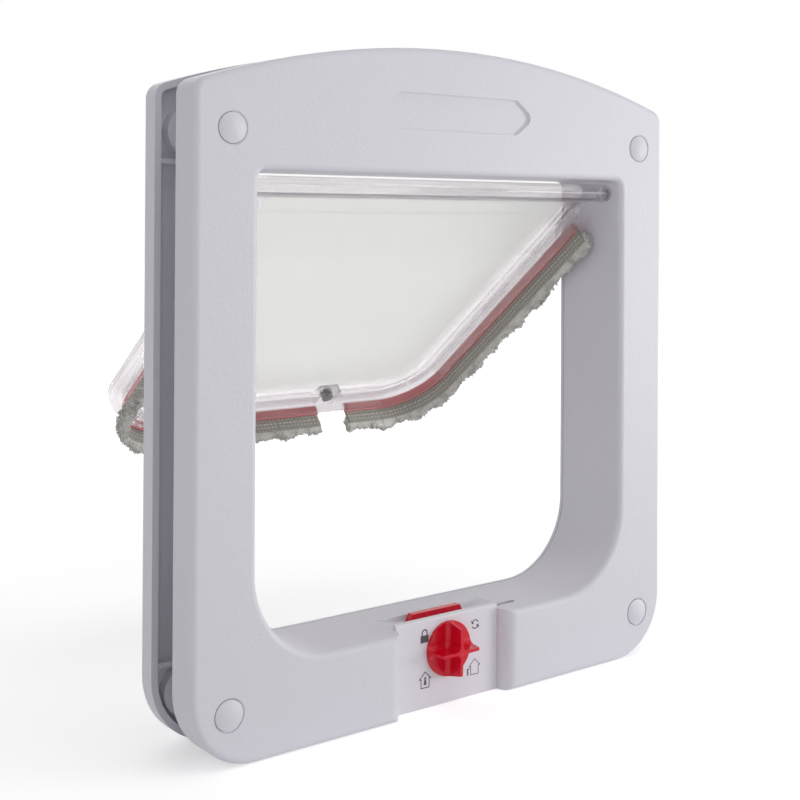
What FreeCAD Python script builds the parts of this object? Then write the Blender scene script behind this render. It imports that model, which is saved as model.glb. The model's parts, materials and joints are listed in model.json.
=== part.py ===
import FreeCAD, Part
import os
from math import pi, sqrt

V = FreeCAD.Vector

# Cat flap clamped through a door, in millimetres. X runs to the right seen from indoors, Y runs from
# indoors to outdoors and Z runs up. The origin is on the indoor frame's door face, at the middle of the
# tunnel.

# Driving sizes of the two frames
frame_width = 199.0
opening_width = 155.6
opening_height = 148.5
bottom_rail = 27.7
top_rail = 41.6
arch_radius = 315.0
wall = 2.2
front_depth = 11.6
rear_depth = 7.3
door_gap = 13.3
frame_low_corner = 22.0
frame_top_corner = 5.0
opening_low_corner = 28.0
opening_top_corner = 3.0
face_round = 2.0
rear_round = 1.6
sleeve_wall = 2.2
sleeve_fit = 0.3
sleeve_overlap = 8.3

# Frame screws and their caps
screw_spacing_x = 174.0
top_screw_above_opening = 12.0
low_screw_under_opening = 11.5
cap_radius = 4.6
cap_dome = 1.0
cap_plug_depth = 2.6
cap_fit = 0.15
cap_wall = 1.2
ring_width = 0.6
ring_depth = 0.35
screw_shank_radius = 1.9
screw_head_radius = 3.6
screw_head_height = 2.4
screw_seat_depth = 7.0
screw_tip_short = 1.2
screw_clearance = 0.4
cross_width = 1.0
cross_reach = 2.0
boss_wall = 2.0
rear_boss_wall = 5.5
bore_fit = 0.05
rib = 1.5
rib_from_screw = 9.3
rib_short = 1.2
rib_under_apex = 6.4

# Bare label recess over the opening
label_flat = 51.4
label_width = 67.4
label_height = 12.1
label_above_screws = 8.4
label_depth = 1.0
label_round = 2.8
label_dish = 0.7

# Control panel in the bottom rail
panel_half_width = 22.0
panel_thickness = 1.8
panel_fit = 0.1
panel_over_sill = 1.7
panel_edge_round = 0.8
post_radius = 1.6
post_bore_radius = 0.8
cover_screw_length = 3.6
cover_screw_head = 0.8
cover_screw_fit = 0.1

# Dial
dial_over_low_screws = 2.0
dial_radius = 9.15
dial_disc = 0.75
dial_gap = 0.1
dial_crest = 6.8
dial_tip_radius = 7.7
dial_tip_drop = 0.4
blade_thickness = 1.0
scoop_corner = 1.9
scoop_round = 1.7
scoop_floor = 0.1
hub_radius = 3.4
clip_width = 2.0
clip_thickness = 0.6
clip_opening = 4.4
clip_fit = 0.05
groove_depth = 0.7

# Latches that block the flap on its outdoor and indoor side
latch_thickness = 1.5
latch_gap = 0.1
cover_gap = 0.2
latch_turn = pi / 2
latch_out_middle = 2.5
latch_out_half_width = 12.0
latch_out_top_half_width = 10.4
latch_out_over_sill = 0.8
latch_out_setback = 14.0
latch_out_thickness = 2.4
latch_in_under_sill = 2.0
latch_in_width = 11.0
latch_arm = 1.8
stem_width = 5.8
slot_fit = 0.3
pocket_depth = 1.8
pocket_floor = 1.6
pocket_half_width = 23.0
pocket_end_slope = 9.0
pocket_past_tab = 1.2
housing_half_width = 34.0
housing_end_setback = 18.0
cover_thickness = 0.9
cover_inset = 0.5

# Flap, measured when it hangs: out is the outdoor side of the hinge line, down is below it
open_angle = 51.5
hinge_setback = 8.0
hinge_under_opening = 4.6
bar_radius = 3.2
bar_end_fit = 0.4
pin_radius = 1.9
pin_end_fit = 0.4
flap_side_fit = 1.7
flap_sill_fit = 2.3
plate_inner = 2.6
plate_outer = 4.5
rim_proud = 0.4
rim_width = 2.4
plate_top = 9.0
web_inner = -1.4
web_outer = 2.0
web_reach = 4.0
flap_corner = 25.0
skirt_inset = 4.5
skirt_thickness = 1.6
skirt_top = 12.0
skirt_edge = -5.0
step_inset = 8.0
step_width = 1.0
step_height = 0.6
frost_depth = 0.3
frost_inset = 11.0
frost_top = 16.0

# Red strip, woven tape and pile round the flap
strip_thickness = 1.1
strip_edge = -5.4
strip_root = -1.0
strip_top = 16.0
tape_thickness = 0.6
tape_edge = -9.0
tape_root = -4.0
pile_edge = -13.0
pile_root = -5.5
pile_inset = 0.5
layer_gap = 0.05
magnet_place = 22.3
seal_gap_middle = 26.9
seal_gap = 14.0

# Magnets
flap_magnet_radius = 2.3
flap_magnet_length = 3.2
magnet_boss_edge = -2.4
magnet_boss_width = 9.0
magnet_boss_height = 10.0
magnet_over_skirt = 6.5
magnet_boss_lift = 0.5
sill_magnet_width = 9.0
sill_magnet_depth = 4.0
sill_magnet_height = 3.6
magnet_fit = 0.1

# How far shapes run into each other where they join, and how far a cut runs past a surface
join = 0.5
past = 1.0

# Places worked out from the driving sizes
face_y = -front_depth
rear_rim_y = door_gap
rear_face_y = door_gap + rear_depth
half_frame = frame_width / 2
half_opening = opening_width / 2
opening_top = opening_height / 2
sill = -opening_height / 2
frame_bottom = sill - bottom_rail
frame_apex = opening_top + top_rail
top_screw_z = opening_top + top_screw_above_opening
low_screw_z = sill - low_screw_under_opening
half_screws = screw_spacing_x / 2
sleeve_end_y = rear_face_y - wall - sleeve_fit
latch_stack = panel_thickness + clip_fit + clip_thickness + 3 * latch_gap + 2 * latch_thickness
panel_setback = front_depth - latch_stack - cover_thickness
panel_y = face_y + panel_setback
panel_back_y = panel_y + panel_thickness
panel_top = sill + panel_over_sill
dial_z = low_screw_z + dial_over_low_screws
hinge_y = face_y + hinge_setback
hinge_z = opening_top - hinge_under_opening
flap_half_width = half_opening - flap_side_fit
flap_length = hinge_z - sill - flap_sill_fit
latch_lift = hub_radius * latch_turn
clip_y = panel_back_y + clip_fit
latch_in_y = clip_y + clip_thickness + latch_gap
latch_out_y = latch_in_y + latch_thickness + latch_gap
cover_y = -cover_thickness
tab_y = face_y + latch_out_setback
housing_end_y = face_y + housing_end_setback
floor_top = sill - pocket_depth
floor_bottom = floor_top - pocket_floor
arm_top = floor_bottom - latch_lift - slot_fit
housing_bottom = arm_top - latch_arm - slot_fit - pocket_floor
stem_x = -(hub_radius + bore_fit + latch_gap)
stem_bottom = dial_z - hub_radius - latch_lift - slot_fit - latch_arm


def box(x0, x1, y0, y1, z0, z1):
    return Part.makeBox(x1 - x0, y1 - y0, z1 - z0, V(x0, y0, z0))


def rod(radius, x, z, y0, y1):
    """Cylinder along Y."""
    return Part.makeCylinder(radius, y1 - y0, V(x, y0, z), V(0, 1, 0))


def upright_edges(solid, wanted):
    """Edges that run along Y and pass through a point (x, z) for which wanted(x, z) is true."""
    found = []
    for edge in solid.Edges:
        a, b = edge.Vertexes[0].Point, edge.Vertexes[-1].Point
        along_y = abs(a.x - b.x) < 1e-6 and abs(a.z - b.z) < 1e-6 and abs(a.y - b.y) > 1e-6
        if along_y and wanted(a.x, a.z):
            found.append(edge)
    return found


def edges_at_y(solid, y):
    """Edges that lie wholly in the plane at y."""
    return [e for e in solid.Edges if abs(e.BoundBox.YMin - y) < 1e-5 and abs(e.BoundBox.YMax - y) < 1e-5]


def rounded_block(half, low, high, low_corner, high_corner, y0, y1):
    """Block along Y whose lower and upper corners have their own radius."""
    solid = box(-half, half, y0, y1, low, high)
    middle = (low + high) / 2
    solid = solid.makeFillet(low_corner, upright_edges(solid, lambda x, z: z < middle))
    return solid.makeFillet(high_corner, upright_edges(solid, lambda x, z: z > middle))


def frame_block(inset, y0, y1):
    """The arched outline of a frame, inset all round, as a solid from y0 to y1."""
    half = half_frame - inset
    solid = box(-half, half, y0, y1, frame_bottom + inset, frame_apex)
    arch = rod(arch_radius - inset, 0, frame_apex - arch_radius, y0, y1)
    solid = solid.common(arch)
    solid = solid.makeFillet(frame_low_corner - inset, upright_edges(solid, lambda x, z: z < 0))
    shoulders = upright_edges(solid, lambda x, z: z > 0 and abs(x) > half - past)
    return solid.makeFillet(frame_top_corner - inset, shoulders)


def opening_block(grow, y0, y1):
    """The tunnel's opening, grown all round, as a solid from y0 to y1."""
    return rounded_block(
        half_opening + grow, sill - grow, opening_top + grow,
        opening_low_corner + grow, opening_top_corner + grow, y0, y1,
    )


def frame_shell(y_face, y_inner, y_rim, edge_round):
    """Hollow frame: a face, an outer wall, a wall round the opening, and rounded edges on the face."""
    y0, y1 = sorted((y_face, y_rim))
    shell = frame_block(0, y0, y1).cut(opening_block(0, y0 - past, y1 + past))
    shell = shell.makeFillet(edge_round, edges_at_y(shell, y_face))
    beyond_rim = y_rim + (past if y_rim > y_face else -past)
    h0, h1 = sorted((y_inner, beyond_rim))
    hollow = frame_block(wall, h0, h1).cut(opening_block(wall, h0 - past, h1 + past))
    return shell.cut(hollow)


def screw_places():
    return {
        "tl": (-half_screws, top_screw_z),
        "tr": (half_screws, top_screw_z),
        "bl": (-half_screws, low_screw_z),
        "br": (half_screws, low_screw_z),
    }


def stiffening_ribs(y0, y1):
    """Ribs between a frame's outer wall and the wall round its opening."""
    ribs = []
    for side in (-1, 1):
        x0, x1 = sorted((side * (half_opening + wall / 2), side * (half_frame - wall / 2)))
        for z in (top_screw_z - rib_from_screw, low_screw_z + rib_from_screw):
            ribs.append(box(x0, x1, y0, y1, z - rib / 2, z + rib / 2))
        x0 = side * half_opening / 2 - rib / 2
        x1 = x0 + rib
        ribs.append(box(x0, x1, y0, y1, opening_top + wall / 2, frame_apex - rib_under_apex))
        ribs.append(box(x0, x1, y0, y1, frame_bottom + wall / 2, sill - wall / 2))
    return ribs


def label_recess():
    """Long six-sided recess with softened tips."""
    z = top_screw_z + label_above_screws
    half, flat, tall = label_width / 2, label_flat / 2, label_height / 2
    y0 = face_y - past
    corners = [(-half, 0), (-flat, tall), (flat, tall), (half, 0), (flat, -tall), (-flat, -tall)]
    points = [V(x, y0, z + dz) for x, dz in corners]
    solid = Part.Face(Part.makePolygon(points + points[:1])).extrude(V(0, past + label_depth, 0))
    solid = solid.makeFillet(label_round, upright_edges(solid, lambda x, z: True))
    return solid.makeFillet(label_dish, edges_at_y(solid, face_y + label_depth))


def panel_channel():
    """Space cut from the bottom rail for the control panel, with a quarter round at both sides."""
    outer = panel_half_width + panel_setback
    back = panel_back_y + panel_fit
    slant = panel_setback * (1 - sqrt(0.5))
    front = face_y - past
    half = panel_half_width
    left = [V(-outer, face_y, 0), V(-half - slant, face_y + slant, 0), V(-half, panel_y, 0)]
    right = [V(half, panel_y, 0), V(half + slant, face_y + slant, 0), V(outer, face_y, 0)]
    edges = [
        Part.makeLine(V(-outer, front, 0), left[0]),
        Part.Arc(*left).toShape(),
        Part.makeLine(left[2], V(-half, back, 0)),
        Part.makeLine(V(-half, back, 0), V(half, back, 0)),
        Part.makeLine(V(half, back, 0), right[0]),
        Part.Arc(*right).toShape(),
        Part.makeLine(right[2], V(outer, front, 0)),
        Part.makeLine(V(outer, front, 0), V(-outer, front, 0)),
    ]
    profile = Part.Face(Part.Wire(edges))
    profile.translate(V(0, 0, frame_bottom - past))
    return profile.extrude(V(0, 0, panel_top + slot_fit - frame_bottom + past))


def sill_pocket():
    """Dished pocket in the sill round the outdoor latch, with sloping ends."""
    y0 = panel_back_y
    y1 = tab_y + latch_out_thickness + pocket_past_tab
    steep = pocket_half_width - pocket_end_slope
    corners = [
        (-pocket_half_width, sill), (-steep, floor_top), (steep, floor_top),
        (pocket_half_width, sill), (steep, sill + past), (-steep, sill + past),
    ]
    points = [V(latch_out_middle + x, y0, z) for x, z in corners]
    return Part.Face(Part.makePolygon(points + points[:1])).extrude(V(0, y1 - y0, 0))


def front_frame():
    """Indoor frame with the tunnel sleeve, the screw bosses and the housing of the latches."""
    frame = frame_shell(face_y, face_y + wall, 0, face_round)
    sleeve = opening_block(sleeve_wall, face_y + wall, sleeve_end_y)
    sleeve = sleeve.cut(opening_block(0, face_y, sleeve_end_y + past))
    added = [sleeve]
    added += stiffening_ribs(face_y + wall / 2, -rib_short)
    boss_radius = cap_radius + cap_fit + boss_wall
    added += [rod(boss_radius, x, z, face_y + wall / 2, 0) for x, z in screw_places().values()]
    outer = panel_half_width + panel_setback + wall
    low, high = frame_bottom + wall / 2, sill - wall / 2
    added.append(box(-outer, outer, face_y + wall / 2, panel_back_y, low, high))
    half = housing_half_width
    added.append(box(-half, half, panel_back_y + panel_fit, 0, floor_bottom, sill - join))
    added.append(box(-half, half, 0, housing_end_y, housing_bottom, sill - join))
    frame = frame.fuse(added).common(frame_block(0, face_y, sleeve_end_y + past))
    frame = frame.removeSplitter()
    cuts = [panel_channel(), label_recess(), sill_pocket()]
    for x, z in screw_places().values():
        cuts.append(rod(cap_radius + ring_width, x, z, face_y - past, face_y + ring_depth))
        cuts.append(rod(cap_radius + cap_fit, x, z, face_y, face_y + cap_plug_depth + screw_clearance))
        cuts.append(rod(screw_head_radius + screw_clearance, x, z, face_y, face_y + screw_seat_depth))
        cuts.append(rod(screw_shank_radius + screw_clearance, x, z, face_y, past))
    reach = half_opening + sleeve_wall + past
    cuts.append(Part.makeCylinder(pin_radius + bore_fit, 2 * reach, V(-reach, hinge_y, hinge_z), V(1, 0, 0)))
    cuts += latch_spaces()
    for tool in cuts:
        frame = frame.cut(tool)
    return frame


def latch_spaces():
    """Room for both latches to rise through the sill, and the seat of the sill magnet."""
    left = latch_out_middle - latch_out_half_width - slot_fit
    right = latch_out_middle + latch_out_half_width + slot_fit
    tab_end = tab_y + latch_out_thickness + slot_fit
    in_left = seal_gap_middle - latch_in_width / 2 - slot_fit
    in_right = seal_gap_middle + latch_in_width / 2 + slot_fit
    in_y0, in_y1 = latch_in_y - slot_fit, latch_in_y + latch_thickness + slot_fit
    magnet_left = magnet_place - sill_magnet_width / 2 - magnet_fit
    magnet_right = magnet_place + sill_magnet_width / 2 + magnet_fit
    magnet_y0, magnet_y1 = magnet_depths()
    seat_y0, seat_y1 = magnet_y0 - magnet_fit, magnet_y1 + magnet_fit
    return [
        box(left, right, -join, tab_end, housing_bottom + pocket_floor, floor_bottom),
        box(left, right, tab_y - slot_fit, tab_end, housing_bottom + pocket_floor, sill + past),
        box(in_left, in_right, in_y0, in_y1, floor_bottom - past, sill + past),
        box(magnet_left, magnet_right, seat_y0, seat_y1, housing_bottom - past, magnet_top()),
    ]


def magnet_depths():
    middle = housing_end_y / 2
    return middle - sill_magnet_depth / 2, middle + sill_magnet_depth / 2


def magnet_top():
    return sill - sleeve_wall


def threshold_magnet():
    y0, y1 = magnet_depths()
    left = magnet_place - sill_magnet_width / 2
    return box(left, left + sill_magnet_width, y0, y1, magnet_top() - sill_magnet_height, magnet_top())


def rear_frame():
    """Outdoor frame with the short sleeve that slides over the tunnel, screw bosses and ribs."""
    frame = frame_shell(rear_face_y, rear_face_y - wall, rear_rim_y, rear_round)
    grow = sleeve_wall + sleeve_fit
    sleeve_start = rear_face_y - wall - sleeve_overlap
    plate_back = rear_face_y - wall
    sleeve = opening_block(grow + wall, sleeve_start, rear_face_y - wall / 2)
    seat = opening_block(grow, sleeve_start - past, plate_back)
    way_out = opening_block(0, plate_back - past, rear_face_y + past)
    inner_y = rear_rim_y + rib_short
    added = [sleeve.cut(seat).cut(way_out)]
    added += stiffening_ribs(inner_y, rear_face_y - wall / 2)
    boss_radius = screw_shank_radius + bore_fit + rear_boss_wall
    added += [rod(boss_radius, x, z, inner_y, plate_back + wall / 2) for x, z in screw_places().values()]
    frame = frame.fuse(added)
    frame = frame.cut(seat).removeSplitter()
    for x, z in screw_places().values():
        frame = frame.cut(rod(screw_shank_radius + bore_fit, x, z, rear_rim_y, plate_back))
    return frame


def frame_screw(x, z):
    """Pan-head screw that draws the two frames together through the door."""
    seat = face_y + screw_seat_depth
    shank = rod(screw_shank_radius, x, z, seat, rear_face_y - wall - screw_tip_short)
    top = seat - screw_head_height
    head = rod(screw_head_radius, x, z, top, seat)
    head = head.makeFillet(screw_head_height / 2, edges_at_y(head, top))
    narrow, reach = cross_width / 2, cross_reach
    floor = seat - screw_head_height / 2
    across = box(x - reach, x + reach, top - past, floor, z - narrow, z + narrow)
    upright = box(x - narrow, x + narrow, top - past, floor, z - reach, z + reach)
    return shank.fuse(head).cut(across).cut(upright)


def screw_cap(x, z):
    """Domed plug that hides a screw."""
    dome_radius = (cap_radius ** 2 + cap_dome ** 2) / (2 * cap_dome)
    ball = Part.makeSphere(dome_radius, V(x, face_y - cap_dome + dome_radius, z))
    dome = ball.common(rod(cap_radius, x, z, face_y - cap_dome - past, face_y + past))
    plug = rod(cap_radius, x, z, face_y + join, face_y + cap_plug_depth)
    hollow = rod(cap_radius - cap_wall, x, z, face_y + cap_wall, face_y + cap_plug_depth + past)
    return dome.fuse(plug).removeSplitter().cut(hollow)


def control_panel():
    """Smooth cover of the bottom rail, with the dial's bore and two posts for the cover screws."""
    half = panel_half_width - panel_fit
    panel = box(-half, half, panel_y, panel_back_y, frame_bottom, panel_top)
    top_front = [e for e in edges_at_y(panel, panel_y) if e.BoundBox.ZMin > sill]
    panel = panel.makeFillet(panel_edge_round, top_front)
    posts = [rod(post_radius, x, z, panel_back_y - join, cover_y) for x, z in post_places()]
    panel = panel.fuse(posts)
    panel = panel.cut(rod(hub_radius + bore_fit, 0, dial_z, panel_y - past, panel_back_y + past))
    for x, z in post_places():
        panel = panel.cut(rod(post_bore_radius, x, z, panel_back_y, cover_y + past))
    return panel


def post_places():
    """Places (x, z) of the two cover screws, one under each end of the latches."""
    low = max(stem_bottom - slot_fit, frame_bottom + wall + slot_fit + 2 * post_radius) - post_radius
    high = housing_bottom - slot_fit - post_radius
    return [(-panel_half_width + 2 * post_radius, high), (panel_half_width - 2 * post_radius, low)]


def dial():
    """Round disc with a grip of four blades, the quarters between them scooped out, and a hub behind."""
    back = panel_y - dial_gap
    front = back - dial_disc
    crest = front - dial_crest
    outline = [
        V(0, back, dial_z), V(dial_radius, back, dial_z), V(dial_radius, front, dial_z),
        V(dial_tip_radius, crest + dial_tip_drop, dial_z), V(0, crest, dial_z),
    ]
    body = Part.Face(Part.makePolygon(outline + outline[:1])).revolve(V(0, 0, dial_z), V(0, 1, 0), 360)
    scoop = quarter_scoop(crest - past, front - scoop_floor)
    for turn in (0, 90, 180, 270):
        quarter = scoop.copy()
        quarter.rotate(V(0, 0, 0), V(0, 1, 0), turn)
        quarter.translate(V(0, 0, dial_z))
        body = body.cut(quarter)
    hub = rod(hub_radius, 0, dial_z, back - join, cover_y - latch_gap)
    groove = rod(hub_radius + past, 0, dial_z, clip_y, clip_y + clip_thickness + clip_fit)
    groove = groove.cut(rod(hub_radius - groove_depth, 0, dial_z, clip_y - past, latch_out_y))
    return body.fuse(hub).cut(groove)


def quarter_scoop(y0, y1):
    """Tool that dishes out one quarter between two blades, round an axis along Y at the origin."""
    near = blade_thickness / 2
    far = 2 * dial_radius
    scoop = box(near, far, y0, y1, near, far)
    scoop = scoop.makeFillet(scoop_corner, upright_edges(scoop, lambda x, z: x + z < dial_radius))
    floor = []
    for edge in edges_at_y(scoop, y1):
        b = edge.BoundBox
        if min(b.XMax, b.ZMax) < dial_radius:
            floor.append(edge)
    return scoop.makeFillet(scoop_round, floor)


def dial_clip():
    """Open spring clip in the hub's groove, which keeps the dial on the panel."""
    ring = rod(hub_radius + clip_width, 0, dial_z, clip_y, clip_y + clip_thickness)
    ring = ring.cut(rod(hub_radius - groove_depth + clip_fit, 0, dial_z, clip_y - past, latch_out_y))
    half = clip_opening / 2
    mouth = box(-half, half, clip_y - past, latch_out_y, dial_z, dial_z + 2 * hub_radius)
    return ring.cut(mouth)


def latch_out():
    """Red tab behind the hanging flap, its arm under the sill and its rack stem beside the hub."""
    tab_top = sill + latch_out_over_sill
    bottom = arm_top - latch_arm
    half, top_half = latch_out_half_width, latch_out_top_half_width
    shoulder = tab_top - 2 * (half - top_half)
    corners = [
        (-half, bottom), (half, bottom), (half, shoulder),
        (top_half, tab_top), (-top_half, tab_top), (-half, shoulder),
    ]
    points = [V(latch_out_middle + x, tab_y, z) for x, z in corners]
    tab = Part.Face(Part.makePolygon(points + points[:1])).extrude(V(0, latch_out_thickness, 0))
    left, right = latch_out_middle - half, latch_out_middle + half
    beam = box(left, right, cover_gap, tab_y + join, bottom, arm_top)
    arm = box(left, stem_x, latch_out_y, join, bottom, arm_top)
    stem = box(stem_x - stem_width, stem_x, latch_out_y, latch_out_y + latch_thickness, stem_bottom, arm_top)
    return tab.fuse([beam, arm, stem]).removeSplitter()


def latch_in():
    """Latch on the indoor side of the flap: a stem beside the hub, an arm below it and a tall tab."""
    top = sill - latch_in_under_sill
    y0, y1 = latch_in_y, latch_in_y + latch_thickness
    left = seal_gap_middle - latch_in_width / 2
    right = seal_gap_middle + latch_in_width / 2
    arm_upper = stem_bottom + latch_arm
    stem = box(stem_x - stem_width, stem_x, y0, y1, stem_bottom, arm_top)
    arm = box(stem_x - stem_width, right, y0, y1, stem_bottom, arm_upper)
    tab = box(left, right, y0, y1, stem_bottom, top)
    return stem.fuse([arm, tab]).removeSplitter()


def latch_cover():
    """Flat cover that closes the latches in from the door's side."""
    low = frame_bottom + wall + cover_inset
    high = arm_top - latch_arm - slot_fit
    cover = box(-panel_half_width + cover_inset, housing_half_width - cover_inset, cover_y, 0, low, high)
    for x, z in post_places():
        cover = cover.cut(rod(post_bore_radius + cover_screw_fit, x, z, cover_y - past, past))
        cover = cover.cut(countersink(x, z, cover_screw_fit))
    return cover


def countersink(x, z, grow):
    """Cone of a cover screw's head, flush with the cover's outer side, grown by a clearance."""
    small, large = post_bore_radius + grow, post_radius + grow
    return Part.makeCone(small, large, cover_screw_head, V(x, -cover_screw_head, z), V(0, 1, 0))


def cover_screw(x, z):
    """Small countersunk screw in the latch cover."""
    shank = rod(post_bore_radius - bore_fit, x, z, -cover_screw_length, 0)
    return shank.fuse(countersink(x, z, 0))


def flap_outline(inset, top, out0, out1):
    """The flap's outline while it hangs, inset from its edge, as a solid between two depths."""
    half = flap_half_width - inset
    solid = box(-half, half, out0, out1, -(flap_length - inset), -top)
    return solid.makeFillet(flap_corner - inset, upright_edges(solid, lambda x, z: z < -flap_length / 2))


def flap_band(inset0, inset1, top, out0, out1):
    """A U-shaped band that follows the flap's sides and bottom, between two insets."""
    middle = flap_outline(inset1, top - past, out0 - past, out1 + past)
    return flap_outline(inset0, top, out0, out1).cut(middle)


def hang(solid):
    """Moves a piece of the flap from its own frame to its swung-open place in the tunnel."""
    turned = solid.copy()
    turned.rotate(V(0, 0, 0), V(1, 0, 0), open_angle)
    turned.translate(V(0, hinge_y, hinge_z))
    return turned


def seal_run(side, inset0, inset1, out0, out1):
    """One L-shaped run of the seal: the left one or the right one of the gap for the indoor latch."""
    band = flap_band(inset0, inset1, strip_top, out0, out1)
    left_end = seal_gap_middle - seal_gap / 2
    right_end = seal_gap_middle + seal_gap / 2
    reach = flap_length + flap_half_width
    x0, x1 = (-reach, left_end) if side == "left" else (right_end, reach)
    return band.common(box(x0, x1, -reach, reach, -reach, 0))


def flap_panel():
    """Clear flap: hinge bar with pins, plate with a raised rim, skirt that carries the seal, magnet boss."""
    bar_half = half_opening - bar_end_fit
    pin_half = half_opening + sleeve_wall - pin_end_fit
    bar = Part.makeCylinder(bar_radius, 2 * bar_half, V(-bar_half, 0, 0), V(1, 0, 0))
    pins = Part.makeCylinder(pin_radius, 2 * pin_half, V(-pin_half, 0, 0), V(1, 0, 0))
    half = flap_half_width
    web_low = -plate_top - web_reach
    web_points = [
        V(-half, web_inner, 0), V(-half, plate_inner, -plate_top), V(-half, plate_inner, web_low),
        V(-half, plate_outer, web_low), V(-half, plate_outer, -plate_top), V(-half, web_outer, 0),
    ]
    web = Part.Face(Part.makePolygon(web_points + web_points[:1])).extrude(V(2 * half, 0, 0))
    plate = flap_outline(0, plate_top, plate_inner, plate_outer)
    rim = flap_band(0, rim_width, skirt_top, plate_inner - rim_proud, plate_outer + rim_proud)
    root = plate_inner + join
    skirt = flap_band(skirt_inset, skirt_inset + skirt_thickness, skirt_top, skirt_edge, root)
    step = flap_band(step_inset, step_inset + step_width, skirt_top, plate_inner - step_height, root)
    boss_bottom = -(flap_length - skirt_inset - magnet_boss_lift)
    boss = box(
        magnet_place - magnet_boss_width / 2, magnet_place + magnet_boss_width / 2,
        magnet_boss_edge, root, boss_bottom, boss_bottom + magnet_boss_height,
    )
    flap = bar.fuse([pins, web, plate, rim, skirt, step, boss]).removeSplitter()
    socket_end = magnet_boss_edge + flap_magnet_length
    socket_radius = flap_magnet_radius + bore_fit
    socket = rod(socket_radius, magnet_place, magnet_height(), magnet_boss_edge - past, socket_end)
    frost = flap_outline(frost_inset, frost_top, plate_inner - past, plate_inner + frost_depth)
    return hang(flap.cut(socket).cut(frost))


def magnet_height():
    """Height of the flap magnet's centre under the hinge."""
    return -(flap_length - skirt_inset - magnet_over_skirt)


def flap_magnet():
    end = magnet_boss_edge + flap_magnet_length
    return hang(rod(flap_magnet_radius, magnet_place, magnet_height(), magnet_boss_edge, end))


def seal_strip(side):
    """Red strip against the outside of the skirt."""
    outer = skirt_inset - layer_gap - strip_thickness
    return hang(seal_run(side, outer, skirt_inset - layer_gap, strip_edge, strip_root))


def brush_tape(side):
    """Woven tape outside the red strip."""
    inner = skirt_inset - 2 * layer_gap - strip_thickness
    return hang(seal_run(side, inner - tape_thickness, inner, tape_edge, tape_root))


def brush_pile(side):
    """Soft pile on the tape, as the plain space that its fibres fill."""
    inner = skirt_inset - 3 * layer_gap - strip_thickness - tape_thickness
    return hang(seal_run(side, pile_inset, inner, pile_edge, pile_root))


def pieces():
    found = {
        "front_frame": front_frame(),
        "rear_frame": rear_frame(),
        "control_panel": control_panel(),
        "dial": dial(),
        "dial_clip": dial_clip(),
        "latch_out": latch_out(),
        "latch_in": latch_in(),
        "latch_cover": latch_cover(),
        "flap_panel": flap_panel(),
        "flap_magnet": flap_magnet(),
        "threshold_magnet": threshold_magnet(),
    }
    for number, (x, z) in enumerate(post_places(), 1):
        found[f"cover_screw_{number}"] = cover_screw(x, z)
    for corner, (x, z) in screw_places().items():
        found[f"frame_screw_{corner}"] = frame_screw(x, z)
        found[f"screw_cap_{corner}"] = screw_cap(x, z)
    for side in ("left", "right"):
        found[f"seal_strip_{side}"] = seal_strip(side)
        found[f"brush_tape_{side}"] = brush_tape(side)
        found[f"brush_pile_{side}"] = brush_pile(side)
    return found


os.makedirs("parts", exist_ok=True)
for name, shape in pieces().items():
    print(name, shape.isValid(), len(shape.Solids), round(shape.Volume, 1))
    shape.exportStep(f"parts/{name}.step")
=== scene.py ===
import json
import math

import bmesh
import bpy
from bpy.props import FloatProperty, FloatVectorProperty, IntProperty, PointerProperty
from mathutils import Matrix, Vector, noise


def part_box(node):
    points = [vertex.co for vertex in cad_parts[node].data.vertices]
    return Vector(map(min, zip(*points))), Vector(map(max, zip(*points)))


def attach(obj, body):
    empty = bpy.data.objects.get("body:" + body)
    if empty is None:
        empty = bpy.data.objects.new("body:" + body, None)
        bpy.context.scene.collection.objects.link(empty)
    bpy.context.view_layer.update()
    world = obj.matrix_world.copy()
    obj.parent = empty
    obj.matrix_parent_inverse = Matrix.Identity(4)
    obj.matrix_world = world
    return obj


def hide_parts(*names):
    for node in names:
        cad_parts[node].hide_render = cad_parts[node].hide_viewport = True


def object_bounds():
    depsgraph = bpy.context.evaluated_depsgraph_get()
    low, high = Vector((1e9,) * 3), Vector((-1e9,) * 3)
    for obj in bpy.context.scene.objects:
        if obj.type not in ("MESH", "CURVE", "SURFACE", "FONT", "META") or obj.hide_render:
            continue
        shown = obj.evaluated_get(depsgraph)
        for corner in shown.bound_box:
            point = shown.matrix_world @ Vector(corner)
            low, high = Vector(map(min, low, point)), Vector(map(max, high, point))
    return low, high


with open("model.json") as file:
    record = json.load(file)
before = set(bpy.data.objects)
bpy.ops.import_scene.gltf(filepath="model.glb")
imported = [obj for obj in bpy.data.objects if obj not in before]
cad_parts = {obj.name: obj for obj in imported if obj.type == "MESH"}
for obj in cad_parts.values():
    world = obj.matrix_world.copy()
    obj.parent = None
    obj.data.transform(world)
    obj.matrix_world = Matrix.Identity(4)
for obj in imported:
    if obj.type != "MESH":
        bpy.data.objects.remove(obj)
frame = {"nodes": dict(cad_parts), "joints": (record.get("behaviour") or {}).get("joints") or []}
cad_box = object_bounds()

bl_info = {
    "name": "Cat flap",
    "version": (1, 0, 0),
    "blender": (4, 5, 0),
    "location": "3D View > Sidebar > Cat flap",
    "description": "Finishes, pile seal and panel marks of a locking cat flap",
    "category": "Object",
}

NODES = frame["nodes"]
MM = 0.001

# where the photograph was taken from: metres, then degrees
CAMERA_PLACE = (-0.28803, -0.3529, 0.06008)
CAMERA_HEADING, CAMERA_PITCH, CAMERA_ROLL = 37.614, 0.288, 0.323
CAMERA_SHIFT = -0.2362


def linear(hex_colour):
    """An sRGB hex colour as linear red, green, blue and alpha."""
    channels = [int(hex_colour[i:i + 2], 16) / 255 for i in (1, 3, 5)]
    curved = [c / 12.92 if c <= 0.04045 else ((c + 0.055) / 1.055) ** 2.4 for c in channels]
    return (*curved, 1.0)


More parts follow.
